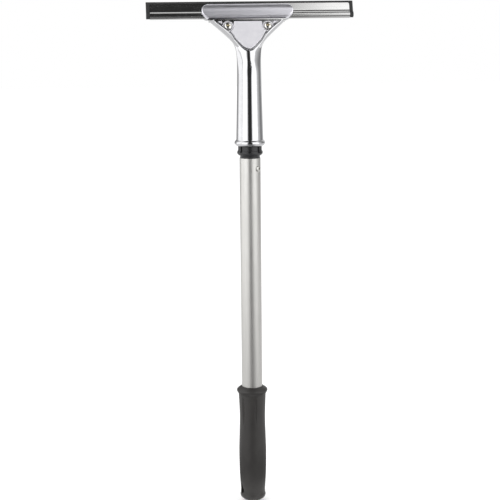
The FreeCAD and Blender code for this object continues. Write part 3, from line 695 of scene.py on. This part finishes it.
# %% Handle surface
def stadium(half_width, front, back, columns):
    """Points at even steps of the perimeter, from the middle of the front towards +X."""
    r, middle = (front + back) / 2, (back - front) / 2
    flat = np.maximum(half_width - r, 0)
    s = np.linspace(0, 1, columns, endpoint=False)[None] * (4 * flat + 2 * np.pi * r)[:, None]
    r, middle, flat, front, back = (v[:, None] for v in (r, middle, flat, front, back))
    right, left = (s - flat) / r, (s - 3 * flat) / r - np.pi
    zones = [s <= flat, s <= flat + np.pi * r, s <= 3 * flat + np.pi * r, s <= 3 * flat + 2 * np.pi * r]
    x = np.select(zones, [s, flat + r * np.sin(right), 2 * flat + np.pi * r - s, -flat - r * np.sin(left)],
                  s - 4 * flat - 2 * np.pi * r)
    y = np.select(zones, [-front + 0 * s, middle - r * np.cos(right), back + 0 * s, middle + r * np.cos(left)],
                  -front + 0 * s)
    return x, y


BEND_R, FOOT = 130.0, 391.8
bend_foot = BEND_Z - BEND_R * math.tan(LEAN / 2) - FOOT
total = BEND_Z - FOOT + REACH - 0.2 - BEND_R * (2 * math.tan(LEAN / 2) - LEAN)
length = np.concatenate([np.linspace(0, 62, 16)[:-1], np.linspace(62, total, 104)])
tilt = np.clip((length - bend_foot) / BEND_R, 0, LEAN)
beyond = np.maximum(length - bend_foot - BEND_R * LEAN, 0)
spine_y = BEND_R * (1 - np.cos(tilt)) + beyond * np.sin(tilt)
spine_z = FOOT + np.minimum(length, bend_foot) + BEND_R * np.sin(tilt) + beyond * np.cos(tilt)
over = spine_z - 505.0
half_width = (16.14 - 0.0252 * (np.minimum(spine_z, 486.0) - 385.0)
              + 0.595 * (over + np.hypot(over, 7.1)))
round_r = 16.47 - 0.0252 * (spine_z - 385.0)
front = round_r + (6.9 - round_r) * ease(spine_z, 464.0, 505.0)
back = round_r + (7.6 - round_r) * ease(spine_z, 466.0, 524.0)
mouth = np.concatenate([[(9.0, 461), (9.49, 460.6), (12.95, 385), (13.25, 383.35), (13.6, 383.2), (14.7, 383.2)],
                        arc_points((14.8, 387), 3.75, -86, 58, 30),
                        curve_through([(16.72, 390.3), (16.45, 390.75), (16.34, 391.3)], 6)])
half_width, front, back = (np.concatenate([mouth[:, 0], v]) for v in (half_width, front, back))
spine_y, tilt = (np.concatenate([0 * mouth[:, 0], v]) for v in (spine_y, tilt))
spine_z = np.concatenate([mouth[:, 1], spine_z])
x, y = stadium(half_width, front, back, 480)
# The front is crowned where the stem flattens: it falls back by sqrt(m^2 x^2 + 9) - 3, most
# at the face and not at all at the sides.
crown = (0.5 * ease(spine_z, 464, 488) * (1 - ease(spine_z, 495, 509)))[:, None]
middle = ((back - front) / 2)[:, None]
share = np.clip((middle - y) / (middle + front[:, None]), 0, 1)
y = y + (np.sqrt((crown * x) ** 2 + 9) - 3) * share
rings = np.stack([x, spine_y[:, None] + y * np.cos(tilt)[:, None],
                  spine_z[:, None] - y * np.sin(tilt)[:, None]], -1)

# %% [markdown]
# The clamp plate lies in a recess in the front of the Y. The recess, the seat under the
# jaw, the round rooms for the screw heads and the relief in the back are cut from the
# smooth shape with exact booleans, because their edges have to be crisp lines.

# %% Recesses
def prism(name, outline, back, front):
    o = np.asarray(outline, float)
    return grid_mesh(name, head(o[None, :, 0], np.array([[back], [front]]), o[None, :, 1]), None, CHROME)


def disc(x, rise, radius, steps=64):
    return arc_points((x, rise), radius, 0, 360 - 360 / steps, steps)


def box_outline(half, low, high):
    return [(-half, low), (half, low), (half, high), (-half, high)]


def shield_side(grow=0.0, side=((0, -39.9), (6.9, -36.4), (15.7, -27.3), (20.6, -19.7),
                                (27.0, -13.2), (39.0, -3.9))):
    """Right half of the shield from its point upwards, moved outwards along its normals."""
    p = np.asarray(side, float)
    mirrored = np.array([[-p[1, 0], p[1, 1]]])
    line = curve_through(np.vstack([mirrored, p]), 24 * len(p))[24:]
    along = np.gradient(line, axis=0)
    along /= np.linalg.norm(along, axis=1, keepdims=True)
    return line + np.stack([along[:, 1], -along[:, 0]], -1) * grow


def closed_shield(grow, top, **extra):
    right = shield_side(grow, **extra)
    right = right[right[:, 1] < top]
    left = right[::-1] * [-1, 1]
    corner = right[-1, 0] + (top - right[-1, 1]) * 1.1
    return np.vstack([left[:-1], right, [(corner, top), (-corner, top)]])


def roll_off(rings, outline, radius):
    """Rounds the front of the arms towards the recess: nearer than radius to the outline,
    the depth falls by r - sqrt(r^2 - (r - d)^2), d being the distance in the head's plane."""
    up, out = rings[..., 2] - HEAD_BASE[1], rings[..., 1] - HEAD_BASE[0]
    rise = out * math.sin(LEAN) + up * math.cos(LEAN)
    depth = up * math.sin(LEAN) - out * math.cos(LEAN)
    wanted = (rise > -46) & (depth > 2)
    p = np.stack([rings[..., 0][wanted], rise[wanted]], -1)[:, None]
    a, b = outline[None, :-1], outline[None, 1:]
    t = np.clip(((p - a) * (b - a)).sum(-1) / ((b - a) ** 2).sum(-1), 0, 1)[..., None]
    d = np.linalg.norm(p - a - t * (b - a), axis=-1).min(1)
    depth[wanted] -= radius - np.sqrt(radius ** 2 - np.maximum(radius - d, 0) ** 2)
    return np.where(wanted[..., None], head(rings[..., 0], depth, rise), rings)


handle = grid_mesh("handle", roll_off(rings, closed_shield(0.6, -1.0)[:-2], 1.9), "handle", CHROME, 32)
relief = prism("relief", closed_shield(0, -4.5, side=((0, -32.5), (5.0, -29.5), (11.0, -22.0), (16.0, -14.5),
                                                       (20.0, -8.0), (22.5, -4.0))), -20, -4)
cut(relief, *[prism("boss", disc(side * 24, -10.2, 6.0), -25, 0) for side in (-1, 1)])
cut(handle, prism("recess", closed_shield(0.6, -1.0), 0.5, 20), prism("seat", box_outline(60, -3.1, 10), 0.5, 20),
    relief,
    *[prism("room", disc(side * 24, -10.2, 5.6), 0.5, 20) for side in (-1, 1)],
    *[prism("hole", disc(side * 24, -10.2, 2.55), -20, 20) for side in (-1, 1)])
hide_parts("handle_casting")

# %% Rear jaw
def pill(half, low, high, steps=40):
    r = (high - low) / 2
    return np.concatenate([arc_points((half - r, low + r), r, -90, 90, steps),
                           arc_points((r - half, low + r), r, 90, 270, steps)])


def channel_room():
    return grid_mesh("room", sweep(keyhole(4.45, 2.0, 27.0), [-125.0, 125.0]), None, CHROME)


rear_jaw = plate("rear_jaw", pill(55, 0.0, 15.5), -2.0, -7.6, 1.3, "handle", CHROME, 8)
cut(rear_jaw, channel_room())
bridge = plate("rear_bridge", box_outline(46, -2, 4), -2.0, -7.55, 0.3, "handle", CHROME)
cut(bridge, channel_room())

# %% [markdown]
# ## The clamp plate
# One casting, seen as four forms: a crowned jaw with full round ends, a thin bar under it,
# a polished shield, and on the shield a raised satin pad. The pad stops short of each screw
# head at a U-shaped pocket, so a small ear stands alone outside each pocket.

# %% Clamp plate
def jaw_rings():
    """Stadium rings moved inwards by d. The face is a circle arc across the jaw, and the
    edge falls away from it by r - sqrt(r^2 - (r-d)^2) within r of the outline; r is 0.9 mm,
    and grows to 2.6 mm along the bottom, where the jaw turns under."""
    straight, round_end = np.linspace(-1, 1, 60), np.linspace(-90, 90, 48)
    rise_r, half = 8.5, 55.0 - 8.5
    a = np.radians(np.concatenate([np.full(59, -90.0), round_end, np.full(58, 90.0), round_end[:-1] + 180]))
    cx = np.concatenate([straight[:-1] * half, np.full(48, half), straight[::-1][1:-1] * half, np.full(47, -half)])
    rim = 0.9 + 1.7 * np.clip(-np.sin(a), 0, 1)[None]
    d = np.concatenate([0 * rim, 0 * rim, rim * (1 - np.cos(np.linspace(0.12, np.pi / 2, 12)))[:, None],
                        rim + (rise_r - rim) * np.linspace(0, 1, 18)[1:, None]])
    x = cx + (rise_r - d) * np.cos(a)
    z = (rise_r - d) * np.sin(a)
    crown_r = (rise_r ** 2 + 2.4 ** 2) / 4.8
    face = 9.0 - crown_r + np.sqrt(crown_r ** 2 - z ** 2)
    edge = np.maximum(rim - d, 0)
    depth = face - (rim - np.sqrt(rim ** 2 - edge ** 2))
    depth[0] = 0.9
    return head(x, depth, z + 8.0)


jaw = grid_mesh("front_jaw", jaw_rings(), "clamp", JAW, 60, caps=(True, False))
cut(jaw, channel_room())
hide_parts("clamp_plate")

plate("bar", rounded(box_outline(46.5, -3.0, -1.5), 0.25), 0.9, 4.9, 0.3, "clamp", STAINLESS)
web = plate("web", box_outline(44, -1.8, 1.0), 0.9, 2.6, 0.3, "clamp", CHROME)
cut(web, channel_room())
plate("shield", closed_shield(0, -1.0), 0.9, 3.0, 0.35, "clamp", CHROME)

side_line = shield_side(-1.2)
near = np.hypot(side_line[:, 0] - 24, side_line[:, 1] + 10.2)
inner = side_line[(near > 7.0) & (side_line[:, 0] < 24)]
outer = side_line[(near > 7.0) & (side_line[:, 0] > 24) & (side_line[:, 1] < -4.2)]
meet = math.degrees(math.atan2(inner[-1, 1] + 10.2, inner[-1, 0] - 24)) % 360
pocket = arc_points((24, -10.2), 7.0, meet, 180, 24)[1:]
right = np.vstack([inner, pocket, [(17.0, -4.9)], [(16.3, -4.2)]])
plate("pad", soften(np.vstack([right, right[::-1][:-1] * [-1, 1]]), 0.35, 6),
      2.5, 4.6, 0.5, "clamp", SATIN)
ear_foot = math.degrees(math.atan2(outer[0, 1] + 10.2, outer[0, 0] - 24))
ear = np.vstack([outer, [(outer[-1, 0] - 0.2, -4.2)], [(31.0, -4.2)],
                 arc_points((24, -10.2), 7.0, 0, ear_foot, 6)[:-1]])
for side, word in ((1, "right"), (-1, "left")):
    plate("ear_" + word, soften(ear * [side, 1], 0.25, 5), 2.5, 4.6, 0.35, "clamp", SATIN)

# %% [markdown]
# Round each screw hole the satin pocket floor swells into a low ring, which catches the
# light from both sides. It is a turned shape laid into the head.

# %% Pocket floors
swell = np.concatenate([
    [(2.6, 2.6)],
    curve_through([(4.7, 2.95), (5.2, 3.17), (5.75, 3.28), (6.3, 3.17), (6.8, 2.95)], 24),
    [(6.8, 2.5), (2.6, 2.5)]])
for side, word in ((1, "right"), (-1, "left")):
    ring = revolve(np.vstack([swell, swell[:1]]), 96)
    ring = head(ring[..., 0] + side * 24, ring[..., 2], ring[..., 1] - 10.2)
    grid_mesh("pocket_floor_" + word, ring, "clamp", SATIN, caps=(False, False))

# %% [markdown]
# ## Screws
# M5 pan heads with a cross recess. The head is turned; the cross is a second height, its
# floor, that takes over where a point is inside either arm of the cross. The same share is
# stored on the mesh, so that the material can show zinc down in the cross. The thread is
# radius taken away by a triangle wave of height minus turn, one 0.8 mm pitch each turn.

# %% Screws
def slot_share(across, along):
    """1 inside a tapering slot of half width 0.72 - 0.12 |along|, 0 outside, a 0.2 mm ramp."""
    return (np.clip((0.72 - 0.12 * np.abs(along) - np.abs(across)) / 0.2 + 0.5, 0, 1)
            * np.clip((2.65 - np.abs(along)) / 0.3 + 0.5, 0, 1))


def screw_rings():
    outline = np.concatenate([[(0, -6.6), (1.6, -6.6), (2.2, -6.1)],
                              np.stack([np.full(90, 2.5), np.linspace(-5.9, 3.7, 90)], -1),
                              [(2.5, 3.8), (4.55, 3.8), (4.7, 3.95), (4.7, 4.55)],
                              curve_through([(4.68, 4.75), (4.3, 5.5), (3.4, 6.25),
                                             (2.2, 6.62), (0, 6.8)], 60)])
    rings = revolve(outline, 192)
    x, y, z = rings[..., 0].copy(), rings[..., 1].copy(), rings[..., 2]
    r = np.hypot(x, y)
    wave = (z / 0.8 - np.arctan2(y, x) / (2 * np.pi)) % 1
    thread = 0.42 * (1 - np.abs(2 * wave - 1)) * ((z > -6.0) & (z < 1.0) & (r > 2.4))
    x, y = x * (1 - thread / np.maximum(r, 0.1)), y * (1 - thread / np.maximum(r, 0.1))
    share = np.maximum(slot_share(x, y), slot_share(y, x)) * (z > 4.7)
    floor_z = 4.9 + 0.28 * r
    return np.stack([x, y, z + (floor_z - z) * share], -1), share


for side, word in ((-1, "left"), (1, "right")):
    rings, share = screw_rings()
    rings = head(rings[..., 0] + side * 24, rings[..., 2], rings[..., 1] - 10.2)
    screw = grid_mesh("screw_" + word, rings, "screw_" + word, SCREW, 40, caps=(False, False), marks=share)
    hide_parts("clamp_screw_" + word)
